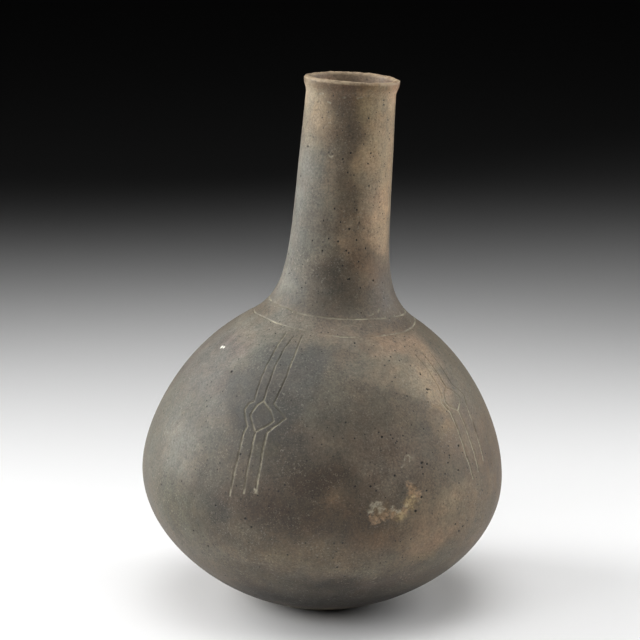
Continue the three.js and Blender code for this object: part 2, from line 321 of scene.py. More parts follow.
strokes = []  # (points, how clear each is, how dusty each is)
for number, (rises, dust) in enumerate(((UPPER_RING, UPPER_RING_DUST), (LOWER_RING, LOWER_RING_DUST))):
    points = shaken(ring_of(rises), number)
    shift = Vector((0, 0, 9 * number))
    clear = [RING_CLEARNESS + 0.9 * noise.noise(point / 7 + shift) for point in points]
    dusty = [dust + 1.2 * noise.noise(point / 12) for point in points]
    strokes.append((points, clear, dusty))
for places in SCRATCHES:
    points = shaken(chain_of(places), len(strokes))
    strokes.append((points, [SCRATCH_CLEARNESS] * len(points), [SCRATCH_DUST] * len(points)))
for panel, turn, drop, above, below, dust_above, dust_below in PANELS:
    for name, places in panel.items():
        moved = [(azimuth + turn, low + drop) for azimuth, low in places]
        points = shaken(chain_of(moved), len(strokes))
        middle = ROOT_HEIGHT - drop - panel["diamond left"][2][1]
        clear, dusty = [], []
        for point in points:
            share = min(max((middle - point.z) / PANEL_BLEND + 0.5, 0), 1)
            dust = dust_above + (dust_below - dust_above) * share
            clear.append((above + (below - above) * share) * (0.9 + 0.4 * noise.noise(point / 5)))
            dusty.append(dust * (0.9 + 1.4 * noise.noise(point / 9)))
        strokes.append((points, clear, dusty))
drawn = sum(len(points) for points, *_ in strokes) * STROKE_STEP
print("engraving:", len(strokes), "strokes,", round(drawn), "mm")

# %% [markdown]
# ## Pits, chips and a spall
#
# Bits of shell and grit in the clay burnt or fell out and left small dark pits. Near the bottom a
# patch the size of a thumbnail flaked off, and crumbs of lime and rust stick to it. One small knock
# shows bare clay. The clearest pits are listed one by one where the pot has them. The rest are strewn at
# random. What is listed here is only where the marks are: the mesh is made fine enough for them next.

# %% Place the pits and the damage
PIT_SEED = 12
STREWN_PITS = 20
SEEN_PITS = [
    (-137, 121.5, 0.8), (-118.5, 90.5, 0.7), (-124, 66, 0.6), (-113.5, 63, 0.7), (-111.5, 59.5, 0.6),
    (-77.5, 138.2, 0.65), (-61, 70, 0.8), (-56, 90, 0.6), (-46, 92, 0.6), (-43, 85, 0.6),
    (-93, 181, 0.6), (-83, 177, 0.55), (-100, 48, 0.55), (-129, 44, 0.6), (-76, 82, 0.65), (-95, 219, 0.55),
    (-88, 213, 0.5), (-128, 158, 0.5), (-150, 66, 0.6), (-134, 50, 0.6), (-84, 43, 0.6), (-70, 45, 0.5),
    (-46.5, 125.4, 0.6), (-46.8, 119.6, 0.7), (-45.8, 119.3, 0.5), (-71.5, 102.5, 0.75), (-72.5, 104.4, 0.5),
    (-40.5, 95.1, 0.75), (-58, 90.7, 0.7), (-58, 88.8, 0.6), (-68, 86.3, 0.65), (-59, 76, 0.75),
    (-57, 78.6, 0.6), (-47.2, 89.1, 0.55), (-40.5, 58.3, 0.6), (-44.5, 60.5, 0.6), (-42, 56.4, 0.6),
    (-84.2, 108.3, 0.55), (-80.8, 82, 0.55), (-74.2, 80.1, 0.5), (-110, 176, 0.6), (-104, 182, 0.55),
    (-124, 180, 0.5),
    (-80, 176, 0.5), (-72, 182, 0.55), (-86, 170, 0.5), (-68, 172, 0.5), (-78, 164, 0.6), (-70, 190, 0.5),
    (-60, 178, 0.5), (-92, 190, 0.5), (-66, 160, 0.5), (-100, 196, 0.55), (-112, 190, 0.5), (-86, 222, 0.6),
    (-60, 207, 0.5), (-60, 222, 0.5), (-74, 196, 0.5),
]
CHIPS = [(-156.6, 128, 1.1, 0.45), (-154.6, 128.3, 0.8, 0.3)]
# The spalled patch: azimuth, height, size and depth of each hollow, and then of each crumb on it.
SPALL = [(-72.8, 71, 5.5, 0.35), (-67.5, 69, 4.5, 0.3), (-63, 74, 5.5, 0.4), (-62, 79, 4, 0.25)]
CRUMBS = [
    (-74, 73.6, 2.8, "lime"), (-75.4, 71, 2, "lime"), (-74.4, 67.8, 3, "rust"), (-71, 69.4, 3, "rust"),
    (-69, 71.8, 1.7, "lime"), (-66, 68.5, 3, "ochre"), (-68.8, 69, 2.2, "rust"), (-63.4, 73, 3, "ochre"),
    (-61.8, 75.6, 2.6, "ochre"), (-62.2, 78.8, 3, "rust"), (-60.6, 76.8, 2.6, "rust"),
    (-64.8, 70.6, 2.2, "rust"), (-64.2, 72.6, 1.6, "lime"), (-63, 81.4, 2, "rust"),
    (-111, 76.6, 1.5, "lime"), (-147.5, 59.8, 1.1, "lime"), (-61.6, 93.4, 0.9, "lime"),
    (-72.4, 71.4, 2.4, "lime"), (-71.8, 69, 2.6, "rust"), (-67.2, 70.2, 2, "lime"),
]

dice = random.Random(PIT_SEED)
pits = list(SEEN_PITS)
for _ in range(STREWN_PITS):
    pits.append((dice.uniform(-180, 180), dice.uniform(25, 225), dice.uniform(0.4, 0.7)))
print("pits:", len(pits), "chips:", len(CHIPS), "spall:", len(SPALL), "hollows")

# %% [markdown]
# ## Fine mesh only where it is needed
#
# A line under a millimetre wide needs cells of a third of a millimetre, and the whole pot at that
# size would be millions of faces. So the edges near a stroke or a pit are subdivided a few times
# over, each time in a narrower band, and each new vertex is put back on the round wall. A tree of
# points tells how near the next mark is.

# %% Refine the mesh near the marks
BANDS = (2.8, 1.6, 0.92)  # how near a mark an edge is, to be split, in each pass

marks = [(point, "stroke", clear, dust) for stroke in strokes for point, clear, dust in zip(*stroke)]
marks += [(on_wall(turn, height), "pit", size, 0) for turn, height, size in pits]
tree = kdtree.KDTree(len(marks))
for i, mark in enumerate(marks):
    tree.insert(mark[0], i)
tree.balance()

damage = [(on_wall(turn, height), size) for turn, height, size, _ in CHIPS + SPALL]


def gap_to_mark(point, band):
    """How far a point is from the band round the nearest mark."""
    gap = tree.find(point)[2] - band
    for middle, size in damage:
        gap = min(gap, (point - middle).length - size - band)
    return gap


def back_on_wall(vert):
    """Puts a new vertex of the outer wall back on the true curve."""
    radius = math.hypot(vert.co.x, vert.co.y)
    true = radius_at(vert.co.z)
    if radius and abs(radius - true) < 1:
        vert.co.x *= true / radius
        vert.co.y *= true / radius


for band in BANDS:
    pot.verts.ensure_lookup_table()
    before = len(pot.verts)
    near = [edge for edge in pot.edges if gap_to_mark((edge.verts[0].co + edge.verts[1].co) / 2, band) < 0]
    bmesh.ops.subdivide_edges(pot, edges=near, cuts=1, use_grid_fill=True)
    pot.verts.ensure_lookup_table()
    for vert in pot.verts[before:]:
        back_on_wall(vert)
    print("band of", band, "mm:", len(near), "edges split,", len(pot.faces), "faces")

# %% [markdown]
# ## Sinking the marks
#
# Each vertex near a stroke moves inwards by the depth of a rounded groove, and a small ridge is left
# beside it, as where a point has pushed the clay aside. Pits are little bowls. The spalled patch is a
# shallow, rough hollow, and its crumbs stand a little proud. Named layers on the vertices keep how
# much of each mark is there, for the clay's material to read.

# %% Cut the marks into the wall
MARK_REACH = 1.6
RIDGE_HEIGHT = 0.05
RIDGE_PLACE = 0.85
RIDGE_WIDTH = 0.2
PIT_DEPTH = 0.75  # as a share of a pit's size
ROUGHNESS_OF_SPALL = 0.22
CRUMB_HEIGHT = 0.3

engraved = pot.verts.layers.float.new("engraved")
pitted = pot.verts.layers.float.new("pitted")
dusted = pot.verts.layers.float.new("dusted")
crusted = pot.verts.layers.float.new("crusted")
chipped = pot.verts.layers.float.new("chipped")
crumbs = {kind: pot.verts.layers.float.new(kind) for kind in ("lime", "rust", "ochre")}


def bowl(distance, size):
    """1 in the middle of a bowl, easing to 0 at its edge."""
    share = min(distance / size, 1)
    return (1 - share * share) ** 2


outer = [vert for vert in pot.verts if abs(math.hypot(vert.co.x, vert.co.y) - radius_at(vert.co.z)) < 0.5]
sunk = {}
for vert in outer:
    point = vert.co.copy()
    depth = 0
    for _, i, distance in tree.find_range(point, MARK_REACH):
        _, kind, size, _ = marks[i]
        if kind == "pit" and distance < size:
            depth = max(depth, PIT_DEPTH * size * bowl(distance, size))
            vert[pitted] = max(vert[pitted], bowl(distance, size))
    nearest = [found for found in tree.find_n(point, 4) if marks[found[1]][1] == "stroke"]
    if nearest and nearest[0][2] < MARK_REACH:
        _, i, distance = nearest[0]
        clear = min(max(marks[i][2], 0), 1)
        groove = bowl(distance, LINE_HALF_WIDTH) * clear
        ridge = math.exp(-(((distance - RIDGE_PLACE) / RIDGE_WIDTH) ** 2)) * clear
        depth = max(depth, LINE_DEPTH * groove) - RIDGE_HEIGHT * ridge
        vert[engraved] = min(1, 1.5 * groove)
        vert[dusted] = min(max(marks[i][3], 0), 1) * min(1, 2 * bowl(distance, DUST_HALF_WIDTH)) * clear
    rough = noise.noise(point / 1.1) + 0.5 * noise.noise(point / 0.5)
    for turn, height, size, hollow in CHIPS:
        reach = bowl((point - on_wall(turn, height)).length, size * (1 + 0.4 * noise.noise(point)))
        depth += hollow * reach
        vert[chipped] = max(vert[chipped], min(1, 2.5 * reach))
    for turn, height, size, hollow in SPALL:
        ragged = size * (1 + 0.7 * noise.noise(point / 2.2))
        reach = bowl((point - on_wall(turn, height)).length, ragged)
        depth += hollow * reach + ROUGHNESS_OF_SPALL * rough * min(1, 3 * reach)
        vert[crusted] = max(vert[crusted], min(1, 1.6 * reach))
    for turn, height, size, kind in CRUMBS:
        shifted = point + Vector((turn, 0, 0))
        ragged = size * (1 + 0.9 * noise.noise(shifted / 1.6) + 0.7 * noise.noise(shifted / 0.7))
        reach = bowl((point - on_wall(turn, height)).length, max(ragged, 0.3))
        depth -= CRUMB_HEIGHT * reach * (1 + rough)
        vert[crumbs[kind]] = max(vert[crumbs[kind]], min(1, 1.7 * reach))
    if depth:
        sunk[vert] = outward(point) * depth
for vert, move in sunk.items():
    vert.co -= move
print("marks:", len(sunk), "vertices moved")

# %% [markdown]
# ## The hand in the shape
#
# No hand-built pot is perfectly round. The belly is a touch shallower from front to back, the wall
# has slow swells left by the coils, and the lip waves and is worn unevenly. The swells are noise of a
# few centimetres and a fraction of a millimetre high. Noise does this well, because it has no pattern
# that an eye can find.

# %% Make the pot uneven
BELLY_FLATTENING = 1
SWELL_SIZE = 30
SWELL_HEIGHT = 0.14
LIP_WAVE = 0.25
LIP_WAVE_TURN = 107
LIP_WEAR = 0.3
LIP_WEAR_SPREAD = 0.3  # how far it goes sideways, as a share of how far it goes up


def smooth(value, low, high):
    """Eases from 0 to 1 while the value goes from low to high."""
    share = min(max((value - low) / (high - low), 0), 1)
    return share * share * (3 - 2 * share)


for vert in pot.verts:
    point = vert.co.copy()
    turn = math.atan2(point.y, point.x)
    radius = math.hypot(point.x, point.y)
    bulge = math.exp(-(((point.z - BELLY_HEIGHT) / (ROOT_HEIGHT - BELLY_HEIGHT)) ** 2))
    vert.co.y -= math.sin(turn) * BELLY_FLATTENING * bulge * radius / BELLY_RADIUS
    rim = smooth(point.z, THROAT_HEIGHT, RIM_HEIGHT)
    vert.co.z += LIP_WAVE * rim * math.cos(2 * (turn + math.radians(LIP_WAVE_TURN)))
    if radius > 1:
        vert.co += outward(point) * SWELL_HEIGHT * noise.noise(point / SWELL_SIZE)
    if rim:
        wear = noise.noise(point / 6) + 0.6 * noise.noise(point / 2.5)
        spread = LIP_WEAR_SPREAD / radius
        vert.co += Vector((point.x * spread, point.y * spread, 1)) * LIP_WEAR * rim * wear
print("rim:", round(max(vert.co.z for vert in pot.verts), 1), "mm high before the slump")

# %% [markdown]
# ## The fire clouds, and two painted highlights
#
# In an open fire the smoke touches a pot unevenly. Where it was starved of air the clay is blue-grey,
# where a flame licked it, it is orange or tan, and the rest is a grey brown. Each such cloud is a soft
# ellipsoid round a place on the wall, and its tone is laid over what is there. They are listed as a
# painter would lay them, the broad ones first. Two pale upright strips near the edges of the neck are
# painted highlights, and dark bands low on the front make the belly darker towards the bottom.

# %% The tones and the clouds
def tone(red, green, blue):
    """A colour as an eye reads it, from 0 to 255, turned into the linear one that light needs."""
    def linear(value):
        value /= 255
        return value / 12.92 if value <= 0.04045 else ((value + 0.055) / 1.055) ** 2.4

    return (linear(red), linear(green), linear(blue), 1)


CLAY = tone(98, 91, 79)
GREY = tone(100, 98, 91)
WARM_GREY = tone(94, 86, 75)
BLUE_GREY = tone(78, 78, 74)
SMOKE = tone(84, 83, 78)
UMBER = tone(78, 69, 58)
SOOT = tone(42, 40, 34)
BUFF = tone(118, 106, 90)
GOLD = tone(156, 138, 111)
TERRACOTTA = tone(124, 107, 89)
MAUVE = tone(104, 94, 83)

# Each cloud: azimuth, height, half its width, half its height, lean in degrees, softness, strength, tone.
CLOUDS = [
    # The body, from the left edge to the right.
    (-150, 92, 44, 52, 0, 0.6, 0.9, tone(92, 90, 82)),
    (-158, 121, 30, 15, 0, 0.6, 0.7, tone(100, 97, 93)),
    (-144, 86, 17, 12, -10, 0.7, 0.8, tone(106, 104, 97)),
    (-144, 102, 11, 8, 0, 0.6, 0.7, tone(84, 82, 74)),
    (-140, 58, 20, 13, 0, 0.6, 0.8, tone(79, 77, 65)),
    (-123, 63, 8, 10, 15, 0.6, 0.85, tone(62, 60, 56)),
    (-121, 73, 8, 5, 0, 0.6, 0.6, tone(94, 84, 74)),
    (-116, 122, 24, 22, 0, 0.15, 0.95, tone(81, 80, 76)),
    (-137, 119, 5, 15, -15, 0.5, 0.8, tone(90, 85, 79)),
    (-134, 129, 7, 9, -35, 0.5, 0.8, tone(108, 107, 98)),
    (-103, 131, 13, 8, 5, 0.25, 0.9, tone(81, 80, 76)),
    (-112, 107, 11, 12, 0, 0.45, 0.85, tone(72, 71, 66)),
    (-91, 114, 12, 12, 0, 0.5, 0.8, tone(83, 81, 72)),
    (-149, 132, 12, 5, 0, 0.5, 0.6, tone(108, 101, 97)),
    (-129, 88, 10, 11, 0, 0.6, 0.5, tone(94, 90, 80)),
    (-110, 94.5, 7, 3.5, 5, 0.3, 0.7, tone(80, 76, 63)),
    (-100, 95, 9, 6, 0, 0.5, 0.8, tone(70, 66, 60)),
    (-110, 79, 8, 6, 0, 0.6, 0.7, tone(96, 86, 75)),
    (-92, 84, 21, 10, 0, 0.7, 0.9, tone(58, 46, 35)),
    (-84, 64, 28, 13, 0, 0.6, 0.9, tone(70, 58, 45)),
    (-86, 77, 4.5, 4, 0, 0.7, 0.85, tone(108, 92, 73)),
    (-108, 69, 15, 8, 0, 0.8, 0.85, tone(64, 51, 41)),
    (-107, 52, 18, 9, 0, 0.6, 0.8, tone(83, 73, 60)),
    (-92, 47, 24, 7, 0, 0.6, 0.85, tone(93, 81, 64)),
    (-117, 34, 18, 6, 0, 0.6, 0.8, tone(82, 74, 62)),
    # Darker towards the bottom: a dark band low on the front.
    (-82, 32, 25, 6, 0, 0.8, 0.9, tone(44, 38, 31)),
    (-65, 46, 8, 5, 0, 0.6, 0.5, tone(86, 80, 67)),
    # Darker towards the bottom: a dark band low on the front.
    (-78, 16, 64, 9, 0, 0.6, 0.95, tone(30, 25, 19)),
    (-114, 101, 25, 24, 0, 0.7, 0.5, tone(58, 53, 46)),
    (-114, 72, 30, 13, 0, 0.7, 0.3, tone(58, 50, 40)),
    (-100, 64, 12, 8, 0, 0.7, 0.35, tone(56, 47, 36)),
    (-129, 70, 9, 9, 0, 0.6, 0.45, tone(64, 59, 52)),
    (-112, 36, 14, 6, 0, 0.6, 0.35, tone(62, 56, 48)),
    # Darker towards the bottom: a dark band low on the front.
    (-90, 24, 40, 7, 0, 0.6, 0.5, tone(38, 32, 25)),
    (-113, 103, 12, 14, 0, 0.6, 0.5, tone(52, 48, 42)),
    (-138, 141, 10, 5, 0, 0.6, 0.5, tone(78, 74, 68)),
    (-96, 60, 18, 8, 0, 0.7, 0.3, tone(54, 43, 31)),
    (-127, 55, 12, 7, 0, 0.6, 0.45, tone(62, 56, 46)),
    (-128, 142, 8, 5, 0, 0.6, 0.5, tone(74, 70, 64)),
    (-91, 81, 9, 5, 0, 0.6, 0.4, tone(46, 38, 30)),
    (-99, 69, 9, 7, 0, 0.6, 0.4, tone(48, 39, 29)),
    # The shoulder and the right side.
    (-86, 142, 24, 6, 0, 0.6, 0.8, tone(112, 104, 93)),
    (-72, 120, 8, 9, 0, 0.6, 0.7, tone(96, 89, 77)),
    (-82, 122, 7, 15, 0, 0.6, 0.6, tone(96, 91, 79)),
    (-54, 130, 21, 12, -8, 0.3, 0.9, tone(118, 109, 94)),
    (-50, 138, 16, 6, 0, 0.5, 0.9, tone(142, 124, 105)),
    (-38, 133, 8, 11, 35, 0.5, 0.9, tone(146, 127, 105)),
    (-42, 121, 8, 12, 25, 0.5, 0.9, tone(158, 138, 112)),
    (-45, 108, 9, 6, 0, 0.5, 0.9, tone(156, 133, 101)),
    (-62, 114.5, 17, 4.5, -14, 0.35, 0.8, tone(101, 94, 81)),
    (-76, 105, 17, 15, 0, 0.7, 0.7, tone(79, 69, 58)),
    (-66, 93, 15, 12, 0, 0.6, 0.8, tone(108, 97, 86)),
    (-38, 100, 15, 14, 0, 0.6, 0.8, tone(112, 97, 79)),
    (-8, 121, 30, 20, 0, 0.6, 0.7, tone(103, 96, 82)),
    (-18, 84, 22, 26, 0, 0.6, 0.85, tone(106, 90, 72)),
    (-48, 65, 25, 16, 0, 0.6, 0.95, tone(122, 107, 88)),
    (-55, 54, 14, 8, 10, 0.6, 0.85, tone(134, 114, 93)),
    (-47, 74, 10, 5, 25, 0.6, 0.8, tone(134, 119, 98)),
    (-27, 46, 20, 10, 0, 0.6, 0.8, tone(110, 98, 84)),
    (-62, 32, 14, 5, 0, 0.6, 0.7, tone(90, 80, 73)),
    (-80, 130, 7, 12, 0, 0.6, 0.5, tone(112, 106, 94)),
    (-40, 143, 13, 4.5, 0, 0.6, 0.5, tone(84, 73, 61)),
    (-68, 138, 6, 4, 0, 0.6, 0.45, tone(76, 69, 59)),
    (-70, 97, 9, 6, 0, 0.6, 0.4, tone(68, 62, 54)),
    (-62, 81, 9, 6, 0, 0.6, 0.4, tone(72, 66, 58)),
    (-19, 86, 8, 22, 0, 0.6, 0.4, tone(74, 64, 52)),
    # Darker towards the bottom: a dark band low on the front.
    (-74, 36, 12, 4, 0, 0.6, 0.5, tone(50, 43, 36)),
    (-70, 58, 14, 7, 0, 0.6, 0.5, tone(106, 85, 62)),
    (-53, 44.5, 8, 4.5, 0, 0.6, 0.8, tone(128, 112, 90)),
    # Darker towards the bottom: a dark band low on the front.
    (-50, 30, 18, 5, 0, 0.6, 0.5, tone(58, 49, 40)),
    (-28, 142, 9, 4, 0, 0.6, 0.5, tone(76, 66, 54)),
    # Darker towards the bottom: a dark band low on the front.
    (-70, 27, 14, 5, 0, 0.6, 0.5, tone(42, 35, 28)),
    # The neck.
    (-92, 205, 20, 62, 0, 0.4, 0.9, tone(96, 82, 66)),
    (-142, 186, 16, 47, 0, 0.5, 0.95, tone(104, 101, 92)),
    (-126, 206, 4.5, 18, 0, 0.6, 0.75, tone(98, 95, 87)),
    (-144, 240, 12, 16, 0, 0.7, 0.85, tone(144, 130, 107)),
    (-90, 250, 13, 8, 0, 0.5, 0.85, tone(104, 84, 65)),
    (-94, 243, 10, 6, 0, 0.6, 0.7, tone(86, 73, 60)),
    (-50, 244, 12, 12, 0, 0.6, 0.8, tone(158, 136, 101)),
    (-46, 226, 11, 34, 0, 0.55, 0.95, GOLD),
    (-44, 194, 9, 17, 0, 0.5, 0.95, tone(168, 144, 117)),
    (-77, 181, 7, 13, -35, 0.6, 0.8, tone(128, 112, 93)),
    (-90, 208, 4, 22, 0, 0.6, 0.6, tone(92, 82, 67)),
    (-93, 162, 15, 9, 0, 0.6, 0.9, tone(75, 70, 61)),
    (-149, 160, 15, 10, 0, 0.6, 0.8, tone(101, 99, 92)),
    (-30, 161, 13, 9, 0, 0.6, 0.8, tone(97, 89, 80)),
    (-153, 139, 24, 6, 0, 0.6, 0.7, tone(118, 115, 106)),
    (-170, 250, 9, 7, 0, 0.6, 0.8, tone(168, 155, 134)),
    (-14, 249, 9, 7, 0, 0.6, 0.8, tone(176, 148, 122)),
    (-104, 208, 4, 22, 0, 0.6, 0.6, tone(118, 108, 93)),
    # Painted highlight: a pale upright strip near the left edge of the neck.
    (-166, 190, 10, 42, 0, 0.6, 0.6, tone(118, 118, 113)),
    (-132, 182, 6, 12, 0, 0.6, 0.5, tone(78, 76, 70)),
    (-96, 170, 6, 7, 0, 0.6, 0.5, tone(58, 53, 46)),
    (-58, 169, 9, 7, 0, 0.6, 0.6, tone(122, 102, 81)),
    (-108, 150, 20, 5, 0, 0.6, 0.45, tone(66, 62, 56)),
    # Painted highlight: a pale upright strip near the right edge of the neck.
    (-22, 202, 7, 30, 0, 0.6, 0.5, tone(172, 146, 114)),
    (-88, 222, 4, 12, 0, 0.6, 0.35, tone(76, 67, 55)),
    (-60, 204, 5, 10, 0, 0.6, 0.6, tone(140, 126, 108)),
    (-106, 189, 5, 6, 0, 0.6, 0.4, tone(72, 66, 58)),
    # The side that the picture doesn't show.
    (60, 110, 40, 34, 0, 0.5, 0.8, BLUE_GREY),
    (105, 65, 34, 26, 0, 0.5, 0.8, UMBER),
    (150, 118, 28, 22, 0, 0.5, 0.7, SMOKE),
    (25, 62, 30, 22, 0, 0.6, 0.7, TERRACOTTA),
    (120, 95, 16, 12, 20, 0.6, 0.6, MAUVE),
    (80, 195, 18, 55, 0, 0.5, 0.9, BUFF),
    (85, 165, 16, 16, 0, 0.6, 0.7, SOOT),
    (140, 215, 12, 34, 0, 0.6, 0.7, GREY),
    (30, 225, 12, 34, 0, 0.6, 0.7, GOLD),
]

# These have an edge that is too sharp for the vertices. The material adds them.
CRISP_CLOUDS = [
    (-116, 121, 23, 21, 0, 0.07, 0.4, tone(72, 71, 66)),
    (-104, 131, 12, 7.5, 5, 0.12, 0.3, tone(78, 77, 73)),
    (-115, 110, 18, 12, 0, 0.15, 0.4, tone(56, 54, 49)),
    (-110, 94.5, 6.5, 3.3, 5, 0.2, 0.4, tone(80, 76, 62)),
    (-50, 122, 15, 9, -28, 0.12, 0.3, tone(150, 135, 113)),
    (-60, 112, 21, 7, -17, 0.07, 0.55, tone(92, 83, 70)),
]
print("clouds:", len(CLOUDS), "soft and", len(CRISP_CLOUDS), "crisp")

# %% [markdown]
# ## Painting the clouds
#
# So many clouds as nodes would be more than the renderer can take in one material, so they are mixed
# here, and kept as a colour on every vertex. Noise moves the place where each vertex looks them up,
# which frays their edges. The inside is one paler tone.

# %% Paint the clouds
FRAYS = [(18, 5), (7, 2.5)]  # the size of each fray, and how far it moves a cloud's edge
INSIDE_TONE = Vector(tone(140, 124, 107))

shapes = []
for azimuth, height, half_width, half_height, lean, softness, strength, shade in CLOUDS:
    turned = Euler((math.radians(lean), 0, math.radians(azimuth))).to_matrix().to_4x4()
    size = Matrix.Diagonal((half_width, half_width, half_height, 1))
    into = (Matrix.Translation(on_wall(azimuth, height)) @ turned @ size).inverted()
    reach = (1 + softness) * max(half_height, half_width)
    shapes.append((into, softness, strength, Vector(shade), height, reach))

fired_and_highlit = pot.verts.layers.float_color.new("fired_and_highlit")
for vert in pot.verts:
    point = vert.co
    if math.hypot(point.x, point.y) < radius_at(point.z) - 1.5:
        vert[fired_and_highlit] = INSIDE_TONE
        continue
    for fray, reach in FRAYS:
        point = point + noise.noise_vector(vert.co / fray) * reach
    colour = Vector(CLAY).lerp(Vector(WARM_GREY), smooth(noise.noise(vert.co / 50), -0.3, 0.3))
    for into, softness, strength, shade, height, reach in shapes:
        if abs(point.z - height) < reach:
            mask = 1 - smooth((into @ point).length, 1 - softness, 1 + softness)
            if mask:
                colour = colour.lerp(shade, mask * strength)
    vert[fired_and_highlit] = colour
print("painted:", len(pot.verts), "vertices")

# %% [markdown]
# ## The slump, and the worn foot
#
# The wet pot sank to one side: its sections are tipped, and the line through their middles leans a
# little more than they do. One matrix does both. Where the rounded base rubbed on the ground it is
# worn flat, so a level plane cuts it, the hole is closed and its edge is eased. The middle of that
# flat spot is the origin of the whole model.

# %% Lean the pot and wear its foot
AXIS_LEAN = math.radians(4.2)
SECTION_TIP = math.radians(3.5)
FOOT_WEAR = 3
FOOT_EDGE = 0.8

slump = Matrix((
    (math.cos(SECTION_TIP), 0, math.sin(AXIS_LEAN), 0),
    (0, 1, 0, 0),
    (-math.sin(SECTION_TIP), 0, math.cos(AXIS_LEAN), 0),
    (0, 0, 0, 1),
))
bmesh.ops.transform(pot, matrix=slump, verts=pot.verts)
floor_height = min(vert.co.z for vert in pot.verts) + FOOT_WEAR
cut = bmesh.ops.bisect_plane(
    pot,
    geom=pot.verts[:] + pot.edges[:] + pot.faces[:],
    plane_co=(0, 0, floor_height),
    plane_no=(0, 0, 1),
    clear_inner=True,
)
rim_of_foot = [item for item in cut["geom_cut"] if isinstance(item, bmesh.types.BMEdge)]
bmesh.ops.edgeloop_fill(pot, edges=rim_of_foot)
bmesh.ops.bevel(
    pot, geom=rim_of_foot, offset=FOOT_EDGE, segments=3, profile=0.5, affect="EDGES", material=-1
)
low_points = [vert.co for vert in pot.verts if vert.co.z < floor_height + 0.01]
foot_middle = Vector((
    (max(co.x for co in low_points) + min(co.x for co in low_points)) / 2,
    (max(co.y for co in low_points) + min(co.y for co in low_points)) / 2,
    floor_height,
))
bmesh.ops.translate(pot, vec=-foot_middle, verts=pot.verts)
print("foot:", round(max(co.x for co in low_points) - min(co.x for co in low_points), 1), "mm across")
print("moved by", [round(-value, 2) for value in foot_middle], "mm")

# %% [markdown]
# ## The finished mesh
#
# The mesh goes from millimetres to metres, its normals are made to face outwards once more, and smooth
# shading hides its facets. The object itself stays at the origin, unturned, as the model's nodes are.

# %% Finish the mesh
bmesh.ops.scale(pot, vec=(MM, MM, MM), verts=pot.verts)
bmesh.ops.recalc_face_normals(pot, faces=pot.faces)
for face in pot.faces:
    face.smooth = True
mesh = bpy.data.meshes.new("burnished_bottle")
pot.to_mesh(mesh)
pot.free()
bottle = bpy.data.objects.new("burnished_bottle", mesh)
bpy.context.scene.collection.objects.link(bottle)
mesh.calc_loop_triangles()
print("bottle:", len(mesh.loop_triangles), "triangles")

# %% [markdown]
# ## Nodes by arithmetic
#
# A material is a small program made of nodes. Written as sums it can be read like one, so a wrapper
# round a socket turns +, -, * and / into Math nodes. Any other node comes from one method, which
# takes the node's type, its settings and what goes into its sockets.


# %% A wrapper for shader maths
class Wire:
    """An output socket that can stand in a sum."""

    def __init__(self, finish, socket):
        self.finish = finish
        self.socket = socket

    def math(self, operation, first, second):
        return self.finish.add("ShaderNodeMath", {"operation": operation}, {0: first, 1: second})

    def __add__(self, other):
        return self.math("ADD", self, other)

    def __radd__(self, other):
        return self.math("ADD", other, self)

    def __sub__(self, other):
        return self.math("SUBTRACT", self, other)

    def __rsub__(self, other):
        return self.math("SUBTRACT", other, self)

    def __mul__(self, other):
        return self.math("MULTIPLY", self, other)

    def __rmul__(self, other):
        return self.math("MULTIPLY", other, self)


class Finish:
    """A material, with a method that adds any node to it."""

    def __init__(self, name):
        self.material = bpy.data.materials.new(name)
        self.material.use_nodes = True
        self.tree = self.material.node_tree
        self.tree.nodes.clear()

    def add(self, kind, settings=None, inputs=None, output=0):
        """Adds a node. Its settings are set first, then its inputs, each a value or a Wire."""
        node = self.tree.nodes.new(kind)
        for name, value in (settings or {}).items():
            setattr(node, name, value)
        for name, value in (inputs or {}).items():
            if isinstance(value, Wire):
                self.tree.links.new(value.socket, node.inputs[name])
            else:
                node.inputs[name].default_value = value
        return Wire(self, node.outputs[output]) if node.outputs else None

    def mix(self, factor, first, second, blend="MIX"):
        """Mixes two colours."""
        settings = {"data_type": "RGBA", "blend_type": blend, "clamp_factor": True}
        return self.add("ShaderNodeMix", settings, {0: factor, 6: first, 7: second}, output=2)

    def step(self, value, low, high, to_low=0, to_high=1):
        """Eases from one value to another while the input goes from low to high."""
        settings = {"interpolation_type": "SMOOTHSTEP"}
        inputs = {"Value": value, "From Min": low, "From Max": high, "To Min": to_low, "To Max": to_high}
        return self.add("ShaderNodeMapRange", settings, inputs)

    def noise(self, where, scale, detail=3, roughness=0.5, distortion=0, output=0):
        inputs = {"Vector": where, "Scale": scale, "Detail": detail, "Roughness": roughness}
        inputs["Distortion"] = distortion
        return self.add("ShaderNodeTexNoise", {"noise_dimensions": "3D"}, inputs, output)

    def attribute(self, name, output=2):
        return self.add("ShaderNodeAttribute", {"attribute_name": name}, output=output)


# %% [markdown]
# ## Grain and specks
#
# Over the clouds lies the clay's own grain: a fine mottle, pale specks of shell and lime, and pits too
# small to model, painted near black as the shade in them. The burnishing pebble left faint upright
# streaks. Noise patterns of several sizes give all of these. They read the pot's own coordinates, so
# that they stay on it when it moves.

# %% Grain
clay = Finish("burnished_clay")
place = clay.add("ShaderNodeTexCoord", output=3)
colour = clay.attribute("fired_and_highlit", output=0)
CRISP_FRAY = 3 * MM
LIME = tone(180, 174, 158)
PAINTED_GRIT_SHADE = tone(20, 17, 14)


def patches(scale, low, high, seed_shift=0):
    """Ragged patches: 1 where a noise is over its high mark, 0 where it is under its low one."""
    shifted = clay.add("ShaderNodeMapping", {}, {"Vector": place, "Location": (seed_shift, 0, 0)})
    return clay.step(clay.noise(shifted, scale, detail=3, roughness=0.6), low, high)


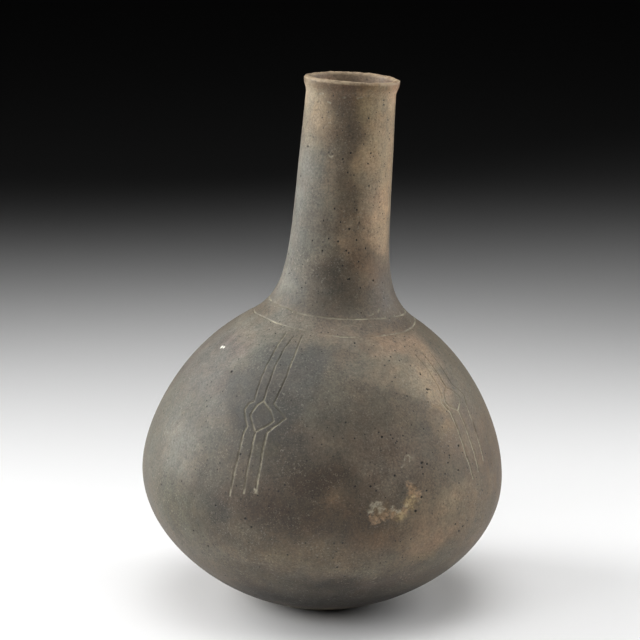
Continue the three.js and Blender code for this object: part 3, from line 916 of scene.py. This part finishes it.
fray = clay.noise(place, 90, detail=4, roughness=0.6, output=1)
half = clay.add("ShaderNodeVectorMath", {"operation": "SUBTRACT"}, {0: fray, 1: (0.5, 0.5, 0.5)})
shift = clay.add("ShaderNodeVectorMath", {"operation": "SCALE"}, {0: half, "Scale": CRISP_FRAY})
frayed = clay.add("ShaderNodeVectorMath", {"operation": "ADD"}, {0: place, 1: shift})
for azimuth, height, half_width, half_height, lean, softness, strength, shade in CRISP_CLOUDS:
    mapping = clay.add("ShaderNodeMapping", {"vector_type": "TEXTURE"}, {
        "Vector": frayed,
        "Location": (slump @ on_wall(azimuth, height) - foot_middle) * MM,
        "Rotation": Euler((math.radians(lean), 0, math.radians(azimuth))),
        "Scale": (half_width * MM, half_width * MM, half_height * MM),
    })
    distance = clay.add("ShaderNodeVectorMath", {"operation": "LENGTH"}, {0: mapping}, output=1)
    mask = clay.step(distance, 1 - softness, 1 + softness, 1, 0)
    colour = clay.mix(mask * strength, colour, shade)

broad = clay.noise(place, 75, detail=4, roughness=0.6)
mottle = clay.noise(place, 260, detail=4, roughness=0.65)
fine = clay.noise(place, 1000, detail=3, roughness=0.75)
streaked = clay.add("ShaderNodeMapping", {}, {"Vector": place, "Scale": (1, 1, 0.12)})
streaks = clay.noise(streaked, 420, detail=3, roughness=0.55)
grain = 1 + (broad - 0.5) * 0.7 + (mottle - 0.5) * 0.85 + (fine - 0.5) * 1.8 + (streaks - 0.5) * 0.5
grain_colour = clay.add("ShaderNodeCombineColor", {}, {0: grain, 1: grain, 2: grain})
colour = clay.mix(1.0, colour, grain_colour, "MULTIPLY")

colour = clay.mix(patches(120, 0.5, 0.57, 31) * 0.35, colour, (0.78, 0.77, 0.75, 1), "MULTIPLY")
colour = clay.mix(patches(95, 0.52, 0.6, 37) * 0.3, colour, (1.3, 1.26, 1.2, 1), "MULTIPLY")

warmth = clay.step(clay.noise(place, 95, detail=4, roughness=0.6), 0.35, 0.65)
tint = clay.mix(warmth, (0.95, 0.955, 0.91, 1), (1.01, 0.935, 0.86, 1))
colour = clay.mix(1.0, colour, tint, "MULTIPLY")


def dots(scale, size, share):
    """Small round dots, in some cells of a Voronoi pattern."""
    cells = {"voronoi_dimensions": "3D", "feature": "F1"}
    distance = clay.add("ShaderNodeTexVoronoi", cells, {"Vector": place, "Scale": scale})
    lots = clay.add("ShaderNodeTexVoronoi", cells, {"Vector": place, "Scale": scale}, output=1)
    chosen = clay.step(clay.add("ShaderNodeSeparateColor", {}, {0: lots}), 1 - share, 1 - share + 0.02)
    spread = clay.add("ShaderNodeSeparateColor", {}, {0: lots}, output=1) * 0.6 + 0.6
    return clay.step(distance - spread * size, -0.05, 0.03, 1, 0) * chosen


dusty = patches(50, 0.42, 0.62, 3)
pitty = patches(38, 0.35, 0.62, 5)
specks = patches(800, 0.6, 0.67, 7) * (0.3 + dusty * 0.7)
fine_specks = patches(1500, 0.58, 0.66, 11) * (0.5 + dusty * 0.5)
grit = dots(420, 0.17, 0.6) * (0.35 + pitty * 0.65)
colour = clay.mix(specks * 0.2, colour, LIME)
colour = clay.mix(fine_specks * 0.17, colour, LIME)
# Painted shade: the grit dots stand for tiny pits and are painted near black, as the shade in them.
colour = clay.mix(grit * 0.95, colour, PAINTED_GRIT_SHADE)
print("grain:", len(clay.tree.nodes), "nodes")

# %% [markdown]
# ## Marks, wear, painted shade and a painted highlight
#
# The layers on the vertices say where the marks are. The grooves are darkened with painted shade,
# with pale dust lying unevenly in them, the pits are painted near black as the shade in them, the
# knock is bare pale clay, and the spall is crusted. The crest of the lip is a pale tan, partly rubbed
# by hands and cloths and partly a painted highlight, and the band below it is darkened with painted
# shade.

# %% Marks, wear, painted shade and a painted highlight
DUST = tone(180, 173, 151)
BARE_CLAY = tone(232, 228, 214)
PAINTED_PIT_SHADE = tone(20, 17, 14)
WORN_AND_HIGHLIT_LIP = tone(170, 150, 122)
CRUST_TONE = tone(122, 104, 82)
CRUMB_TONES = {"lime": tone(176, 168, 146), "rust": tone(172, 142, 110), "ochre": tone(184, 163, 122)}
PAINTED_LIP_SHADE_BAND = (-4.5 * MM, -2 * MM)  # where painted shade darkens the lip below its crest, from the rim
LIP_CREST = (-0.5 * MM, 0.4 * MM)  # where it is painted pale, partly as wear and partly as a highlight

groove_here = clay.attribute("engraved")
crusted_here = clay.attribute("crusted")
settled_dust = clay.attribute("dusted") * (0.45 + patches(330, 0.38, 0.55, 17) * 0.5)
# Painted shade: the grooves are darkened, as shade would lie in them, before the dust is laid in.
colour = clay.mix(groove_here * 0.6, colour, (0.5, 0.48, 0.46, 1), "MULTIPLY")
colour = clay.mix(settled_dust, colour, DUST)
colour = clay.mix(crusted_here * 0.55, colour, CRUST_TONE)
crumbly = patches(650, 0.4, 0.56, 19)
for kind, shade in CRUMB_TONES.items():
    colour = clay.mix(clay.attribute(kind) * (0.25 + crumbly * 0.4), colour, shade)
colour = clay.mix(clay.attribute("chipped"), colour, BARE_CLAY)
# Painted shade: the modelled pits are painted near black, as the shade in them.
colour = clay.mix(clay.step(clay.attribute("pitted"), 0.05, 0.35), colour, PAINTED_PIT_SHADE)

rim_top = (slump @ Vector((0, 0, RIM_HEIGHT)) - foot_middle).z * MM
height_here = clay.add("ShaderNodeSeparateXYZ", {}, {0: place}, output=2)
sideways = clay.add("ShaderNodeSeparateXYZ", {}, {0: place}, output=0)
over_lip = height_here + sideways * math.tan(SECTION_TIP)
over_rim = over_lip - rim_top
# Painted shade: the band of the lip below its crest is darkened, unevenly.
painted_lip_shade = clay.step(over_rim, *PAINTED_LIP_SHADE_BAND) * (0.4 + patches(150, 0.4, 0.6, 41) * 0.5)
colour = clay.mix(painted_lip_shade, colour, (0.74, 0.64, 0.55, 1), "MULTIPLY")
# The crest is painted pale: partly wear, partly a painted highlight on the top of the lip.
worn_and_highlit_crest = clay.step(over_rim, *LIP_CREST) * (0.25 + patches(350, 0.35, 0.6, 23) * 0.65)
colour = clay.mix(worn_and_highlit_crest, colour, WORN_AND_HIGHLIT_LIP)
print("grain and marks:", len(clay.tree.nodes), "nodes")

# %% [markdown]
# ## Sheen and relief
#
# A burnished wall is smoother than a worn one, so its gloss comes and goes. The relief is only what
# is too small for the mesh: the grain, the pebble's streaks and the smallest pits.

# %% Sheen, relief and the shader
BURNISHED_ROUGHNESS = 0.64
RELIEF_HEIGHT = 0.15 * MM
RELIEF_STRENGTH = 0.6

roughness = BURNISHED_ROUGHNESS + (mottle - 0.5) * 0.3 + (streaks - 0.5) * 0.2
roughness = roughness + groove_here * 0.2 + crusted_here * 0.3
relief = mottle * 0.5 + streaks * 0.4 + fine * 0.35 - grit * 1.6 + specks * 0.3
bump = clay.add("ShaderNodeBump", {}, {
    "Strength": RELIEF_STRENGTH,
    "Distance": RELIEF_HEIGHT,
    "Height": relief,
})
shader = clay.add("ShaderNodeBsdfPrincipled", {}, {
    "Base Color": colour,
    "Roughness": roughness,
    "IOR": 1.5,
    "Normal": bump,
})
clay.add("ShaderNodeOutputMaterial", {}, {"Surface": shader})
mesh.materials.append(clay.material)
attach(bottle, "root")
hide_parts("bottle")
print("clay:", len(clay.tree.nodes), "nodes")

# %% [markdown]
# ## The table
#
# The pot stands on a plain pale table, much wider than the picture. It isn't part of the pot.

# %% Table
TABLE_SIZE = 12

table_mesh = bmesh.new()
bmesh.ops.create_grid(table_mesh, x_segments=1, y_segments=1, size=TABLE_SIZE / 2)
table_data = bpy.data.meshes.new("table")
table_mesh.to_mesh(table_data)
table_mesh.free()
table = bpy.data.objects.new("table", table_data)
bpy.context.scene.collection.objects.link(table)
paint = Finish("pale_table")
sheet = paint.add("ShaderNodeBsdfPrincipled", {}, {"Base Color": tone(236, 236, 236), "Roughness": 0.6})
paint.add("ShaderNodeOutputMaterial", {}, {"Surface": sheet})
table_data.materials.append(paint.material)
print("table:", TABLE_SIZE, "m wide")

# %% [markdown]
# ## The light
#
# A dark burnished pot shows its form in broad, soft reflections, so all the lights are big boxes. The
# wide one overhead has a narrow spread, as with a grid in front, so the light falls off behind the
# pot by itself and the backdrop goes dark. Boxes on both sides draw the edges of the neck, and weak
# ones at the front and low on the left open the shadows.


# %% Lights
def soft_box(name, place, target, width, height, power, spread):
    """A white rectangular light that looks at a target. Its spread is in degrees."""
    lamp = bpy.data.lights.new(name, "AREA")
    lamp.shape = "RECTANGLE"
    lamp.size, lamp.size_y = width, height
    lamp.energy = power
    lamp.spread = math.radians(spread)
    box = bpy.data.objects.new(name, lamp)
    box.location = place
    box.rotation_euler = (Vector(target) - Vector(place)).to_track_quat("-Z", "Y").to_euler()
    box.visible_camera = False
    bpy.context.scene.collection.objects.link(box)


soft_box("overhead", (-0.05, 0, 1.3), (-0.05, 0, 0), 1.6, 1.3, 2.4, 60)
soft_box("over the front", (-0.05, -0.4, 0.95), (-0.05, -0.4, 0), 0.9, 0.5, 0.71, 84)
soft_box("big left", (-0.9, 0.1, 0.6), (0, 0, 0.1), 0.7, 0.9, 2.29, 100)
soft_box("left", (-0.75, 0.2, 0.45), (0, 0, 0.14), 0.35, 0.7, 1.31, 100)
soft_box("right", (0.75, 0.2, 0.45), (0, 0, 0.14), 0.35, 0.7, 1.63, 100)
soft_box("front", (0, -1.1, 0.9), (0, 0, 0.1), 0.6, 0.6, 0.49, 100)
soft_box("over the right", (0.42, 0, 0.8), (0.42, 0, 0), 0.5, 0.5, 0.25, 50)
soft_box("low left", (-0.6, -0.45, 0.4), (-0.15, -0.1, 0), 0.4, 0.4, 0.45, 70)

BACKDROP = (0.001, 0.001, 0.001, 1)
world = bpy.data.worlds.new("studio")
world.use_nodes = True
world.node_tree.nodes["Background"].inputs["Color"].default_value = BACKDROP
bpy.context.scene.world = world
bpy.context.scene.view_settings.view_transform = "Standard"
print("lights:", len(bpy.data.lights))

# %% [markdown]
# ## The camera
#
# A long lens about a metre away, a little above the belly and looking slightly down, shows the whole
# pot with nearly level sides and just a glimpse into the mouth.

# %% Camera
CAMERA_LENS = 130.2  # in millimetres, on a sensor 36 mm wide
CAMERA_DISTANCE = 1.0935
CAMERA_PITCH = math.radians(12.3)
AIM = Vector((-0.0017, 0, 0.1359))

eye = bpy.data.cameras.new("camera")
eye.lens = CAMERA_LENS
eye.sensor_width = 36
camera = bpy.data.objects.new("camera", eye)
camera.location = AIM + CAMERA_DISTANCE * Vector((0, -math.cos(CAMERA_PITCH), math.sin(CAMERA_PITCH)))
camera.rotation_euler = (math.pi / 2 - CAMERA_PITCH, 0, 0)
bpy.context.scene.collection.objects.link(camera)
bpy.context.scene.camera = camera
print("camera:", [round(value, 3) for value in camera.location])
